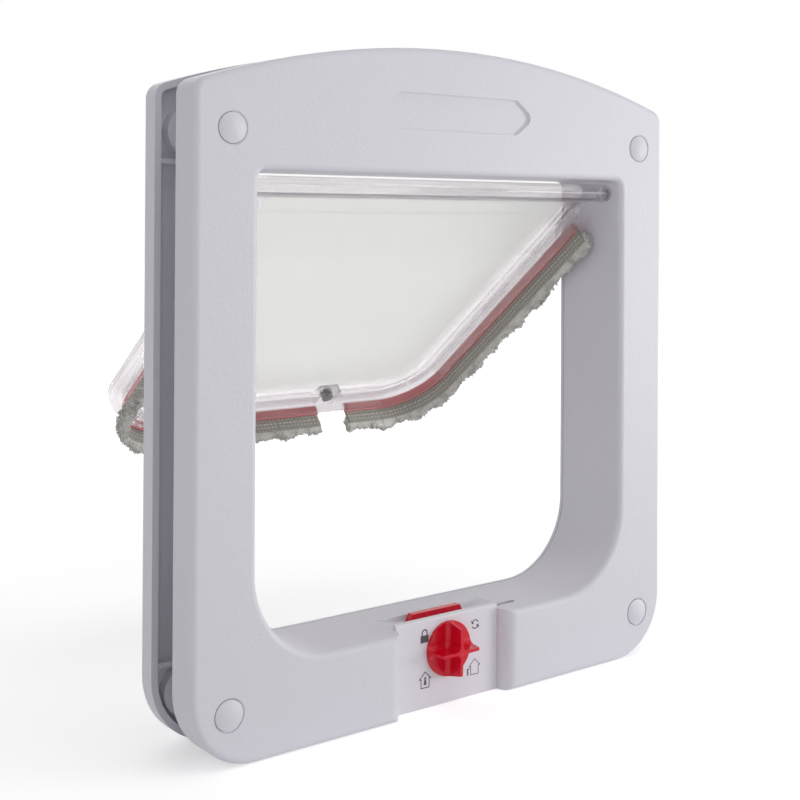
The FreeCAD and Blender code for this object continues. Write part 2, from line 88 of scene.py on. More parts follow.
def colour_prop(name, description, hex_colour):
    return FloatVectorProperty(
        name=name, description=description, subtype="COLOR", size=4, min=0, max=1,
        default=linear(hex_colour),
    )


def length_prop(name, description, millimetres):
    return FloatProperty(
        name=name, description=description, unit="LENGTH", precision=5, default=millimetres * MM,
    )


class FlapColours(bpy.types.PropertyGroup):
    moulding: colour_prop("Frame moulding", "Base colour of the grained frames", "#E4E2EA")
    panel: colour_prop("Panel moulding", "Base colour of the smooth panel and caps", "#E9E6EE")
    red: colour_prop("Dial and latches", "Colour of the dial and the latches", "#E2042A")
    strip: colour_prop("Seal strip", "Colour of the strip under the pile", "#FF9C9C")
    tape: colour_prop("Tape warp", "Darker thread of the woven tape", "#8F8C84")
    tape_light: colour_prop("Tape weft", "Lighter thread of the woven tape", "#C4C1B8")
    thread: colour_prop("Stitching", "Thread that sews the pile to its tape", "#F0EEE8")
    pile: colour_prop("Pile", "Middle colour of the pile", "#DAD8D2")
    # painted shade: the next colour stands for the shade deep among the tufts, and the one after it is painted
    # light on their tips
    pile_painted_shade: colour_prop("Pile painted shade", "Painted shade deep among the tufts", "#AAA8A2")
    pile_painted_light: colour_prop("Pile painted light", "Painted light on the tufts' tips", "#ECEAE4")
    ink: colour_prop("Printing", "Ink of the marks round the dial", "#4A4850")
    clear: colour_prop("Clear flap", "Tint of the clear flap", "#A89DA4")
    frosted: colour_prop("Frosted middle", "Tint of the frosted part of the flap", "#AFAFAA")
    steel: colour_prop("Screws", "Zinc plated steel", "#B9BCC2")
    magnet: colour_prop("Magnets", "Plated magnet", "#8E8A8E")
    floor: colour_prop("Floor", "Floor under the object", "#F6F6F7")


class FlapSizes(bpy.types.PropertyGroup):
    half_width: length_prop("Half width", "Half the width of the flap's plate", 76.1)
    drop: length_prop("Drop", "From the hinge to the plate's bottom edge", 141.6)
    corner: length_prop("Corner", "Radius of the plate's bottom corners", 25.0)
    seal_top: length_prop("Seal top", "From the hinge down to the seal's upper ends", 16.0)
    open_angle: FloatProperty(
        name="Opening", description="How far the flap is swung from hanging", unit="ROTATION",
        default=math.radians(51.5),
    )
    gap_middle: length_prop("Gap middle", "Place of the gap in the seal", 26.9)
    gap_width: length_prop("Gap width", "Width of the gap in the seal", 14.0)
    pile_lump: length_prop("Pile lump", "Size of the pile's soft lumps", 7.0)
    pile_swell: length_prop("Pile swell", "How far the lumps swell and sink", 1.5)
    tuft_length: length_prop("Tuft length", "Length of one tuft of the pile", 1.0)
    tuft_width: length_prop("Tuft width", "Width of one tuft at its root", 0.75)
    tufts_per_cm2: IntProperty(name="Tufts", description="Tufts in a square centimetre", default=150)
    stitch: length_prop("Stitch", "Length of one stitch on the tape", 1.7)
    grain: length_prop("Moulded grain", "Grain of the frames' surface", 0.9)
    ink_height: length_prop("Ink height", "How far the marks stand on the panel", 0.05)


class FlapStage(bpy.types.PropertyGroup):
    lens: FloatProperty(name="Lens", description="Focal length", unit="CAMERA", default=60.4)
    key_watts: FloatProperty(name="Key light", description="Light from the right", default=4.6)
    fill_watts: FloatProperty(name="Fill light", description="Light from the front left", default=1.1)
    top_watts: FloatProperty(name="Top light", description="Light from above", default=3.0)
    back_watts: FloatProperty(name="Back light", description="Light from behind the door", default=1.5)
    side_watts: FloatProperty(name="Side light", description="Low light from the left", default=1.1)
    sky: FloatProperty(name="Sky light", description="Even light from all sides", default=0.33)


# Materials

def add(tree, kind, inputs=None, **settings):
    """Adds a node, sets its properties, and fills or links its inputs."""
    made = tree.nodes.new(kind)
    for key, value in settings.items():
        setattr(made, key, value)
    for key, value in (inputs or {}).items():
        if isinstance(value, bpy.types.NodeSocket):
            tree.links.new(value, made.inputs[key])
        else:
            made.inputs[key].default_value = value
    return made


def new_material(name):
    """An empty node material and its tree."""
    material = bpy.data.materials.new(name)
    material.use_nodes = True
    material.node_tree.nodes.clear()
    return material, material.node_tree


def finish_material(tree, shader):
    """Joins the last shader to the material's output."""
    add(tree, "ShaderNodeOutputMaterial", {"Surface": shader.outputs[0]})


def grained_abs(colours, sizes):
    """White ABS from a spark-eroded mould: satin, with a fine grain like leather."""
    material, tree = new_material("grained_abs")
    place = add(tree, "ShaderNodeTexCoord").outputs["Object"]
    cells = add(
        tree, "ShaderNodeTexVoronoi", {"Vector": place, "Scale": 1 / (1.3 * sizes.grain)}, feature="SMOOTH_F1",
    )
    fine = add(tree, "ShaderNodeTexNoise", {"Vector": place, "Scale": 1 / sizes.grain, "Detail": 3.0})
    both = add(tree, "ShaderNodeMath", {0: cells.outputs["Distance"], 1: fine.outputs["Fac"]}, operation="ADD")
    bump = add(tree, "ShaderNodeBump", {"Height": both.outputs[0], "Strength": 0.5, "Distance": 0.12 * MM})
    # the shade drifts over about 70 mm
    broad = add(tree, "ShaderNodeTexNoise", {"Vector": place, "Scale": 14.0, "Detail": 2.0})
    darker = [c * 0.955 for c in colours.moulding[:3]] + [1.0]
    tone = add(
        tree, "ShaderNodeMix",
        {"Factor": broad.outputs["Fac"], "A": darker, "B": colours.moulding[:]}, data_type="RGBA",
    )
    rough = add(tree, "ShaderNodeMapRange", {"Value": fine.outputs["Fac"], "To Min": 0.42, "To Max": 0.58})
    shader = add(tree, "ShaderNodeBsdfPrincipled", {
        "Base Color": tone.outputs[2], "Roughness": rough.outputs[0], "IOR": 1.54,
        "Normal": bump.outputs[0],
    })
    finish_material(tree, shader)
    return material


def smooth_abs(colours, sizes):
    """White ABS from a polished mould: smoother, with a faint waviness."""
    material, tree = new_material("smooth_abs")
    place = add(tree, "ShaderNodeTexCoord").outputs["Object"]
    waves = add(tree, "ShaderNodeTexNoise", {"Vector": place, "Scale": 1 / (4 * MM), "Detail": 2.0})
    bump = add(tree, "ShaderNodeBump", {
        "Height": waves.outputs["Fac"], "Strength": 0.2, "Distance": 0.05 * MM,
    })
    rough = add(tree, "ShaderNodeMapRange", {"Value": waves.outputs["Fac"], "To Min": 0.26, "To Max": 0.36})
    darker = [c * 0.97 for c in colours.panel[:3]] + [1.0]
    tone = add(
        tree, "ShaderNodeMix",
        {"Factor": waves.outputs["Fac"], "A": darker, "B": colours.panel[:]}, data_type="RGBA",
    )
    shader = add(tree, "ShaderNodeBsdfPrincipled", {
        "Base Color": tone.outputs[2], "Roughness": rough.outputs[0], "IOR": 1.54, "Normal": bump.outputs[0],
    })
    finish_material(tree, shader)
    return material


def red_acetal(colours, sizes):
    """Red acetal of the dial and latches: dense colour, half gloss, faint flow marks."""
    material, tree = new_material("red_acetal")
    place = add(tree, "ShaderNodeTexCoord").outputs["Object"]
    flow = add(tree, "ShaderNodeTexNoise", {
        "Vector": place, "Scale": 1 / (3 * MM), "Detail": 3.0, "Distortion": 0.6,
    })
    darker = [c * 0.86 for c in colours.red[:3]] + [1.0]
    tone = add(
        tree, "ShaderNodeMix",
        {"Factor": flow.outputs["Fac"], "A": darker, "B": colours.red[:]}, data_type="RGBA",
    )
    rough = add(tree, "ShaderNodeMapRange", {"Value": flow.outputs["Fac"], "To Min": 0.16, "To Max": 0.26})
    bump = add(tree, "ShaderNodeBump", {
        "Height": flow.outputs["Fac"], "Strength": 0.15, "Distance": 0.04 * MM,
    })
    shader = add(tree, "ShaderNodeBsdfPrincipled", {
        "Base Color": tone.outputs[2], "Roughness": rough.outputs[0], "IOR": 1.48, "Specular IOR Level": 0.4,
        "Normal": bump.outputs[0],
    })
    finish_material(tree, shader)
    return material


def flap_place(tree, sizes):
    """Object coordinates in the hanging flap's own frame: x across, y outwards, z up from the hinge."""
    hinge = flap_hinge()
    place = add(tree, "ShaderNodeTexCoord").outputs["Object"]
    moved = add(tree, "ShaderNodeVectorMath", {0: place, 1: (-hinge.x, -hinge.y, -hinge.z)}, operation="ADD")
    turned = add(
        tree, "ShaderNodeVectorRotate",
        {"Vector": moved.outputs[0], "Axis": (1, 0, 0), "Angle": -sizes.open_angle}, rotation_type="AXIS_ANGLE",
    )
    return turned.outputs[0]


def clear_polycarbonate(colours, sizes):
    """Clear polycarbonate: polished rim and skirt, and a frosted middle that scatters what is behind."""
    material, tree = new_material("clear_polycarbonate")
    parts = add(tree, "ShaderNodeSeparateXYZ", {0: flap_place(tree, sizes)})
    middle = None
    # the frosting stops this far from the rim and the hinge, and fades out over this width
    rim, under_hinge, edge = 11 * MM, 8 * MM, 1.2 * MM
    across = add(tree, "ShaderNodeMath", {0: parts.outputs["X"]}, operation="ABSOLUTE")
    limits = (
        (across.outputs[0], sizes.half_width - rim, -1),
        (parts.outputs["Z"], -sizes.drop + rim, 1),
        (parts.outputs["Z"], -under_hinge, -1),
    )
    for value, limit, way in limits:
        low, high = (1.0, 0.0) if way < 0 else (0.0, 1.0)
        step = add(tree, "ShaderNodeMapRange", {
            "Value": value, "From Min": limit - edge / 2, "From Max": limit + edge / 2,
            "To Min": low, "To Max": high,
        })
        if middle is None:
            middle = step.outputs[0]
        else:
            both = add(tree, "ShaderNodeMath", {0: middle, 1: step.outputs[0]}, operation="MULTIPLY")
            middle = both.outputs[0]
    haze = add(tree, "ShaderNodeTexNoise", {
        "Vector": flap_place(tree, sizes), "Scale": 1 / (2 * MM), "Detail": 4.0,
    })
    rough = add(tree, "ShaderNodeMapRange", {"Value": middle, "To Min": 0.03, "To Max": 0.42})
    bump = add(tree, "ShaderNodeBump", {
        "Height": haze.outputs["Fac"], "Strength": 0.12, "Distance": 0.03 * MM,
    })
    tone = add(
        tree, "ShaderNodeMix",
        {"Factor": middle, "A": colours.clear[:], "B": colours.frosted[:]}, data_type="RGBA",
    )
    shader = add(tree, "ShaderNodeBsdfPrincipled", {
        "Base Color": tone.outputs[2], "Roughness": rough.outputs[0], "IOR": 1.4, "Alpha": 0.5,
        "Transmission Weight": 1.0, "Normal": bump.outputs[0],
    })
    finish_material(tree, shader)
    return material


def red_strip(colours, sizes):
    """Flexible red PVC strip: glossy skin, and half of the light goes through."""
    material, tree = new_material("red_strip_pvc")
    place = add(tree, "ShaderNodeTexCoord").outputs["Object"]
    mottle = add(tree, "ShaderNodeTexNoise", {"Vector": place, "Scale": 1 / (1.5 * MM), "Detail": 3.0})
    darker = [c * 0.8 for c in colours.strip[:3]] + [1.0]
    tone = add(
        tree, "ShaderNodeMix",
        {"Factor": mottle.outputs["Fac"], "A": darker, "B": colours.strip[:]}, data_type="RGBA",
    )
    rough = add(tree, "ShaderNodeMapRange", {"Value": mottle.outputs["Fac"], "To Min": 0.3, "To Max": 0.45})
    bump = add(tree, "ShaderNodeBump", {
        "Height": mottle.outputs["Fac"], "Strength": 0.2, "Distance": 0.05 * MM,
    })
    shader = add(tree, "ShaderNodeBsdfPrincipled", {
        "Base Color": tone.outputs[2], "Roughness": rough.outputs[0], "IOR": 1.53, "Normal": bump.outputs[0],
        "Transmission Weight": 0.5, "Specular IOR Level": 0.9, "Coat Weight": 0.6, "Coat Roughness": 0.2,
    })
    finish_material(tree, shader)
    return material


def woven_tape(colours, sizes):
    """Polyester tape in plain, uneven weave, drawn twice as coarse as real, so that the threads show."""
    material, tree = new_material("woven_tape")
    place = add(tree, "ShaderNodeUVMap", uv_map="run").outputs[0]
    # a wave texture repeats every 2 pi / 20 of its unit
    thread_pitch = 1.6 * MM
    scale = 2 * math.pi / 20 / thread_pitch
    uneven = {"Vector": place, "Scale": scale, "Distortion": 1.4, "Detail": 1.0, "Detail Scale": 1.5}
    warp = add(tree, "ShaderNodeTexWave", uneven, bands_direction="X")
    weft = add(tree, "ShaderNodeTexWave", uneven, bands_direction="Y")
    weave = add(tree, "ShaderNodeMath", {0: warp.outputs["Fac"], 1: weft.outputs["Fac"]}, operation="MULTIPLY")
    fuzz = add(tree, "ShaderNodeTexNoise", {"Vector": place, "Scale": 1 / (0.4 * MM), "Detail": 3.0})
    mixed = add(tree, "ShaderNodeMath", {0: weave.outputs[0], 1: fuzz.outputs["Fac"]}, operation="ADD")
    share = add(tree, "ShaderNodeMapRange", {"Value": mixed.outputs[0], "From Min": 0.3, "From Max": 1.3})
    tone = add(
        tree, "ShaderNodeMix",
        {"Factor": share.outputs[0], "A": colours.tape[:], "B": colours.tape_light[:]}, data_type="RGBA",
    )
    bump = add(tree, "ShaderNodeBump", {"Height": mixed.outputs[0], "Strength": 0.7, "Distance": 0.15 * MM})
    shader = add(tree, "ShaderNodeBsdfPrincipled", {
        "Base Color": tone.outputs[2], "Roughness": 0.9, "Sheen Weight": 0.3, "Normal": bump.outputs[0],
    })
    finish_material(tree, shader)
    return material


def sewing_thread(colours, sizes):
    """Polyester sewing thread: twisted, slightly shiny."""
    material, tree = new_material("sewing_thread")
    place = add(tree, "ShaderNodeTexCoord").outputs["Object"]
    twist = add(tree, "ShaderNodeTexNoise", {"Vector": place, "Scale": 1 / (0.3 * MM), "Detail": 2.0})
    darker = [c * 0.7 for c in colours.thread[:3]] + [1.0]
    tone = add(
        tree, "ShaderNodeMix",
        {"Factor": twist.outputs["Fac"], "A": darker, "B": colours.thread[:]}, data_type="RGBA",
    )
    bump = add(tree, "ShaderNodeBump", {
        "Height": twist.outputs["Fac"], "Strength": 0.4, "Distance": 0.05 * MM,
    })
    shader = add(tree, "ShaderNodeBsdfPrincipled", {
        "Base Color": tone.outputs[2], "Roughness": 0.65, "Normal": bump.outputs[0],
    })
    finish_material(tree, shader)
    return material


def wool_pile(colours, sizes):
    """Acrylic fleece: matt fibres, uneven from tuft to tuft, with painted shade for the depth among the tufts and
    painted light for their tips, both scattered by noise rather than placed by depth.
    """
    material, tree = new_material("acrylic_pile")
    place = add(tree, "ShaderNodeTexCoord").outputs["Object"]
    clumps = add(tree, "ShaderNodeTexNoise", {"Vector": place, "Scale": 1 / (4.5 * MM), "Detail": 3.0})
    fine = add(tree, "ShaderNodeTexNoise", {"Vector": place, "Scale": 1 / (0.7 * MM), "Detail": 2.0})
    mixed = add(tree, "ShaderNodeMix", {"Factor": 0.35, "A": clumps.outputs["Fac"], "B": fine.outputs["Fac"]})
    # the ramp's dark end is painted shade and its light end painted light, spread by the noise rather than by
    # depth in the pile
    ramp = add(tree, "ShaderNodeValToRGB", {"Fac": mixed.outputs[0]})
    ramp.color_ramp.elements[0].position = 0.33
    ramp.color_ramp.elements[0].color = colours.pile_painted_shade[:]
    ramp.color_ramp.elements[1].position = 0.68
    ramp.color_ramp.elements[1].color = colours.pile_painted_light[:]
    middle = ramp.color_ramp.elements.new(0.5)
    middle.color = colours.pile[:]
    bump = add(tree, "ShaderNodeBump", {"Height": fine.outputs["Fac"], "Strength": 0.6, "Distance": 0.3 * MM})
    shader = add(tree, "ShaderNodeBsdfPrincipled", {
        "Base Color": ramp.outputs[0], "Roughness": 0.95, "Sheen Weight": 0.5, "Normal": bump.outputs[0],
    })
    finish_material(tree, shader)
    return material


def zinc_steel(colours, sizes):
    """Zinc plated steel: a soft metal gloss with the plating's cloudiness."""
    material, tree = new_material("zinc_plated_steel")
    place = add(tree, "ShaderNodeTexCoord").outputs["Object"]
    cloud = add(tree, "ShaderNodeTexNoise", {"Vector": place, "Scale": 1 / (1.2 * MM), "Detail": 3.0})
    darker = [c * 0.8 for c in colours.steel[:3]] + [1.0]
    tone = add(
        tree, "ShaderNodeMix",
        {"Factor": cloud.outputs["Fac"], "A": darker, "B": colours.steel[:]}, data_type="RGBA",
    )
    rough = add(tree, "ShaderNodeMapRange", {"Value": cloud.outputs["Fac"], "To Min": 0.25, "To Max": 0.42})
    shader = add(tree, "ShaderNodeBsdfPrincipled", {
        "Base Color": tone.outputs[2], "Metallic": 1.0, "Roughness": rough.outputs[0],
    })
    finish_material(tree, shader)
    return material


def plated_magnet(colours, sizes):
    """Nickel plated magnet: duller than the screws, with a slightly rough cut face."""
    material, tree = new_material("plated_magnet")
    place = add(tree, "ShaderNodeTexCoord").outputs["Object"]
    grit = add(tree, "ShaderNodeTexNoise", {"Vector": place, "Scale": 1 / (0.5 * MM), "Detail": 3.0})
    darker = [c * 0.7 for c in colours.magnet[:3]] + [1.0]
    tone = add(
        tree, "ShaderNodeMix",
        {"Factor": grit.outputs["Fac"], "A": darker, "B": colours.magnet[:]}, data_type="RGBA",
    )
    bump = add(tree, "ShaderNodeBump", {
        "Height": grit.outputs["Fac"], "Strength": 0.3, "Distance": 0.05 * MM,
    })
    shader = add(tree, "ShaderNodeBsdfPrincipled", {
        "Base Color": tone.outputs[2], "Metallic": 0.9, "Roughness": 0.45, "Normal": bump.outputs[0],
    })
    finish_material(tree, shader)
    return material


def pad_ink(colours, sizes):
    """Pad printed ink: matt, a little uneven in cover."""
    material, tree = new_material("pad_printed_ink")
    place = add(tree, "ShaderNodeTexCoord").outputs["Object"]
    cover = add(tree, "ShaderNodeTexNoise", {"Vector": place, "Scale": 1 / (0.6 * MM), "Detail": 2.0})
    lighter = [min(1.0, c * 1.5) for c in colours.ink[:3]] + [1.0]
    tone = add(
        tree, "ShaderNodeMix",
        {"Factor": cover.outputs["Fac"], "A": colours.ink[:], "B": lighter}, data_type="RGBA",
    )
    shader = add(tree, "ShaderNodeBsdfPrincipled", {"Base Color": tone.outputs[2], "Roughness": 0.6})
    finish_material(tree, shader)
    return material


def seen_rays(tree):
    """1 for a ray that goes to the camera, in gloss or through glass, and else 0."""
    path = add(tree, "ShaderNodeLightPath")
    straight = add(tree, "ShaderNodeMath", {
        0: path.outputs["Is Camera Ray"], 1: path.outputs["Is Transmission Ray"],
    }, operation="MAXIMUM")
    return add(tree, "ShaderNodeMath", {
        0: straight.outputs[0], 1: path.outputs["Is Glossy Ray"],
    }, operation="MAXIMUM")


def stage_paper(colours, sizes):
    """Pale paper sweep. Straight to the camera, and in gloss and glass, it is white; it keeps shadows."""
    material, tree = new_material("stage_paper")
    place = add(tree, "ShaderNodeTexCoord").outputs["Object"]
    # a tooth of about 3 mm
    tooth = add(tree, "ShaderNodeTexNoise", {"Vector": place, "Scale": 300.0, "Detail": 3.0})
    bump = add(tree, "ShaderNodeBump", {
        "Height": tooth.outputs["Fac"], "Strength": 0.05, "Distance": 0.1 * MM,
    })
    shader = add(tree, "ShaderNodeBsdfPrincipled", {
        "Base Color": colours.floor[:], "Roughness": 0.9, "Normal": bump.outputs[0],
    })
    reach = add(tree, "ShaderNodeVectorMath", {0: place}, operation="LENGTH")
    far = add(tree, "ShaderNodeMapRange", {
        "Value": reach.outputs["Value"], "From Min": 0.25, "From Max": 0.57, "To Min": 0.45, "To Max": 0.72,
    })
    glow = add(tree, "ShaderNodeEmission", {"Color": (1, 1, 1, 1), "Strength": far.outputs[0]})
    seen = seen_rays(tree)
    lit = add(tree, "ShaderNodeAddShader", {0: shader.outputs[0], 1: glow.outputs[0]})
    both = add(tree, "ShaderNodeMixShader", {0: seen.outputs[0], 1: shader.outputs[0], 2: lit.outputs[0]})
    finish_material(tree, both)
    return material


# Shapes

def flap_hinge():
    """The hinge line's middle, in metres."""
    for joint in frame["joints"]:
        if joint["name"] == "flap_swing":
            return Vector(joint["pos_m"])
    raise RuntimeError("the frame has no joint flap_swing")


def hang(bm, sizes):
    """Swings a mesh from the hanging flap's frame to the open flap's place."""
    turn = Matrix.Translation(flap_hinge()) @ Matrix.Rotation(sizes.open_angle, 4, "X")
    bmesh.ops.transform(bm, matrix=turn, verts=bm.verts)


def finished_object(name, bm, material, smooth=True):
    """Turns a bmesh into an object with its material."""
    mesh = bpy.data.meshes.new(name)
    bm.to_mesh(mesh)
    bm.free()
    mesh.materials.append(material)
    mesh.polygons.foreach_set("use_smooth", [smooth] * len(mesh.polygons))
    made = bpy.data.objects.new(name, mesh)
    bpy.context.scene.collection.objects.link(made)
    return made


def put_in_order(bm):
    """Sorts a mesh by place. Extruding leaves it in an order that changes from run to run, and tufts follow it."""
    verts = sorted(bm.verts, key=lambda vert: tuple(vert.co))
    number = {vert: i for i, vert in enumerate(verts)}
    points = [vert.co.copy() for vert in verts]
    rings = []
    for face in bm.faces:
        ring = [number[vert] for vert in face.verts]
        first = ring.index(min(ring))
        rings.append(ring[first:] + ring[:first])
    bm.clear()
    made = [bm.verts.new(point) for point in points]
    for ring in sorted(rings):
        bm.faces.new([made[i] for i in ring])


def extrude_on(bm, faces, steps, move=(0, 0, 0), centre=(0, 0, 0), angle=0.0):
    """Extrudes faces in steps, straight on or round a centre about the Y axis, and gives the last faces."""
    out = bmesh.ops.spin(
        bm, geom=faces, cent=centre, axis=(0, 1, 0), dvec=move, angle=angle, steps=steps,
        use_merge=False, use_duplicate=False,
    )
    return [g for g in out["geom_last"] if isinstance(g, bmesh.types.BMFace)]


def bottom_run(side, sizes):
    """How far the seal of one side runs along the bottom edge, from its corner to the gap."""
    gap = sizes.gap_middle if side == "left" else -sizes.gap_middle
    return (sizes.half_width - sizes.corner) + gap - sizes.gap_width / 2


def sweep_run(bm, side, sizes, faces, inset, pace):
    """Sweeps faces, which lie at the seal's upper left end, down the side, round the corner and to the gap."""
    half, drop, corner = sizes.half_width, sizes.drop, sizes.corner
    straight = drop - corner - sizes.seal_top
    steps = max(1, round(straight / pace))
    faces = extrude_on(bm, faces, steps, (0, 0, -straight / steps))
    centre = (-(half - corner), 0, -(drop - corner))
    arc_steps = max(6, round((corner - inset) * math.pi / 2 / pace))
    faces = extrude_on(bm, faces, arc_steps, centre=centre, angle=-math.pi / 2)
    run = bottom_run(side, sizes)
    steps = max(1, round(run / pace))
    extrude_on(bm, faces, steps, (run / steps, 0, 0))
    if side == "right":
        bmesh.ops.scale(bm, vec=(-1, 1, 1), verts=bm.verts)
    bmesh.ops.recalc_face_normals(bm, faces=bm.faces)
    put_in_order(bm)


def along_run(point, sizes):
    """How far along the U-shaped outline a point of the hanging flap's frame lies."""
    half, drop, corner = sizes.half_width, sizes.drop, sizes.corner
    x, z = abs(point.x), point.z
    if z > -(drop - corner):
        return -z
    if x < half - corner:
        return (drop - corner) + corner * math.pi / 2 + (half - corner - x)
    turn = math.atan2(-(z + drop - corner), max(x - (half - corner), 1e-9))
    return (drop - corner) + corner * turn


def section(bm, sizes, inset, thickness, out_low, out_high, segments, flatness):
    """A rounded section of the seal at its upper left end."""
    middle = (-(sizes.half_width - inset - thickness / 2), (out_low + out_high) / 2, -sizes.seal_top)
    made = bmesh.ops.create_circle(bm, cap_ends=True, segments=segments, radius=1.0)
    for vert in made["verts"]:
        squared = [math.copysign(abs(c) ** flatness, c) for c in (vert.co.x, vert.co.y)]
        vert.co.x = middle[0] + squared[0] * thickness / 2
        vert.co.y = middle[1] + squared[1] * (out_high - out_low) / 2
        vert.co.z = middle[2]
    return list(bm.faces)


def depth_inside(point, sizes):
    """How far inside the flap's outline a point of the hanging flap's frame lies."""
    half, drop, corner = sizes.half_width, sizes.drop, sizes.corner
    x, z = abs(point.x) - (half - corner), -point.z - (drop - corner)
    if x > 0 and z > 0:
        return corner - math.hypot(x, z)
    return min(half - abs(point.x), drop + point.z)


def name_run(bm, sizes):
    """Unwraps a swept piece: along the run, and across it."""
    layer = bm.loops.layers.uv.new("run")
    for face in bm.faces:
        for loop in face.loops:
            loop[layer].uv = (along_run(loop.vert.co, sizes), loop.vert.co.y)


def tuft_object(sizes):
    """One bent tuft, pointing up."""
    bm = bmesh.new()
    made = bmesh.ops.create_cone(
        bm, cap_ends=False, segments=4, radius1=sizes.tuft_width / 2, radius2=sizes.tuft_width / 5,
        depth=sizes.tuft_length,
    )
    bmesh.ops.subdivide_edges(
        bm, edges=[e for e in bm.edges if abs(e.verts[0].co.z - e.verts[1].co.z) > sizes.tuft_length / 2], cuts=1,
    )
    bmesh.ops.translate(bm, vec=(0, 0, sizes.tuft_length * 0.45), verts=bm.verts)
    for vert in bm.verts:
        share = vert.co.z / sizes.tuft_length
        vert.co.x += 0.45 * sizes.tuft_length * share * share
        vert.co.y += 0.12 * sizes.tuft_length * math.sin(3 * share)
    put_in_order(bm)
    mesh = bpy.data.meshes.new("tuft")
    bm.to_mesh(mesh)
    bm.free()
    mesh.polygons.foreach_set("use_smooth", [True] * len(mesh.polygons))
    return bpy.data.objects.new("tuft", mesh)


def tuft_nodes(sizes, tuft, seed, material):
    """Geometry nodes that plant tufts all over a mesh and keep the mesh itself."""
    tree = bpy.data.node_groups.new("plant_tufts", "GeometryNodeTree")
    tree.interface.new_socket("Geometry", in_out="INPUT", socket_type="NodeSocketGeometry")
    tree.interface.new_socket("Geometry", in_out="OUTPUT", socket_type="NodeSocketGeometry")
    body = add(tree, "NodeGroupInput").outputs[0]
    grow = add(tree, "GeometryNodeInputNamedAttribute", {"Name": "grow"}, data_type="FLOAT")
    per_m2 = sizes.tufts_per_cm2 * 10000.0
    density = add(tree, "ShaderNodeMath", {0: grow.outputs[0], 1: per_m2}, operation="MULTIPLY")
    points = add(tree, "GeometryNodeDistributePointsOnFaces", {
        "Mesh": body, "Density": density.outputs[0], "Seed": seed,
    })
    lean = add(tree, "FunctionNodeRandomValue", {
        "Min": (-1.1, -1.1, 0), "Max": (1.1, 1.1, 6.283), "Seed": seed + 1,
    }, data_type="FLOAT_VECTOR")
    turned = add(tree, "FunctionNodeRotateEuler", {
        0: points.outputs["Rotation"], 1: lean.outputs[0],
    }, rotation_type="EULER", space="LOCAL")
    size = add(tree, "FunctionNodeRandomValue", {
        "Min": (0.7, 0.7, 0.55), "Max": (1.3, 1.3, 1.25), "Seed": seed + 2,
    }, data_type="FLOAT_VECTOR")
    shape = add(tree, "GeometryNodeObjectInfo", {"Object": tuft})
    planted = add(tree, "GeometryNodeInstanceOnPoints", {
        "Points": points.outputs["Points"], "Instance": shape.outputs["Geometry"],
        "Rotation": turned.outputs[0], "Scale": size.outputs[0],
    })
    real = add(tree, "GeometryNodeRealizeInstances", {0: planted.outputs[0]})
    joined = add(tree, "GeometryNodeJoinGeometry", {0: body})
    tree.links.new(real.outputs[0], joined.inputs[0])
    coloured = add(tree, "GeometryNodeSetMaterial", {"Geometry": joined.outputs[0], "Material": material})
    add(tree, "NodeGroupOutput", {0: coloured.outputs[0]})
    return tree


def plant_tufts(piece, sizes, seed, material):
    """Plants the tufts and keeps the result as a plain mesh."""
    tuft = tuft_object(sizes)
    bpy.context.scene.collection.objects.link(tuft)
    modifier = piece.modifiers.new("tufts", "NODES")
    modifier.node_group = tuft_nodes(sizes, tuft, seed, material)
    depsgraph = bpy.context.evaluated_depsgraph_get()
    grown = bpy.data.meshes.new_from_object(piece.evaluated_get(depsgraph))
    piece.modifiers.clear()
    piece.data = grown
    bpy.data.objects.remove(tuft)


def cover_node(name, material):
    """Gives a CAD node its material."""
    slots = NODES[name].data.materials
    slots.clear()
    slots.append(material)


# Operators

class FinishOperator:
    """What all operators share: undo, and the two groups of settings."""
    bl_options = {"REGISTER", "UNDO"}

    def settings(self, context):
        return context.scene.flap_colours, context.scene.flap_sizes


class FLAP_OT_frames(FinishOperator, bpy.types.Operator):
    """Finish the two frames and the smooth pieces"""
    bl_idname = "catflap.frames"
    bl_label = "Frames, panel and caps"

    def execute(self, context):
        colours, sizes = self.settings(context)
        grained = grained_abs(colours, sizes)
        smooth = smooth_abs(colours, sizes)
        for name in NODES:
            if name in ("front_frame", "rear_frame") or name.startswith("screw_cap"):
                cover_node(name, grained)
            elif name in ("control_panel", "latch_cover"):
                cover_node(name, smooth)
        return {"FINISHED"}


class FLAP_OT_metal(FinishOperator, bpy.types.Operator):
    """Finish the screws, the clip and the magnets"""
    bl_idname = "catflap.metal"
    bl_label = "Screws and magnets"

    def execute(self, context):
        colours, sizes = self.settings(context)
        steel = zinc_steel(colours, sizes)
        magnet = plated_magnet(colours, sizes)
        for name in NODES:
            if name.startswith(("frame_screw", "cover_screw")) or name == "dial_clip":
                cover_node(name, steel)
            elif name.endswith("magnet"):
                cover_node(name, magnet)
        return {"FINISHED"}


class FLAP_OT_lock(FinishOperator, bpy.types.Operator):
    """Finish the dial and the latches"""
    bl_idname = "catflap.lock"
    bl_label = "Dial and latches"

    def execute(self, context):
        colours, sizes = self.settings(context)
        red = red_acetal(colours, sizes)
        for name in ("dial", "latch_out", "latch_in"):
            cover_node(name, red)
        return {"FINISHED"}


class FLAP_OT_clear_flap(FinishOperator, bpy.types.Operator):
    """Finish the clear flap and its red strips"""
    bl_idname = "catflap.clear_flap"
    bl_label = "Clear flap and strips"

    def execute(self, context):
        colours, sizes = self.settings(context)
        cover_node("flap_panel", clear_polycarbonate(colours, sizes))
        red = red_strip(colours, sizes)
        for side in ("left", "right"):
            bm = bmesh.new()
            faces = section(
                bm, sizes, inset=3.43 * MM, thickness=1.0 * MM, out_low=-5.4 * MM, out_high=-1.5 * MM,
                segments=20, flatness=0.5,
            )
            sweep_run(bm, side, sizes, faces, inset=4 * MM, pace=1.5 * MM)
            hang(bm, sizes)
            strip = finished_object(f"soft_strip_{side}", bm, red)
            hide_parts(f"seal_strip_{side}")
            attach(strip, "flap")
        return {"FINISHED"}


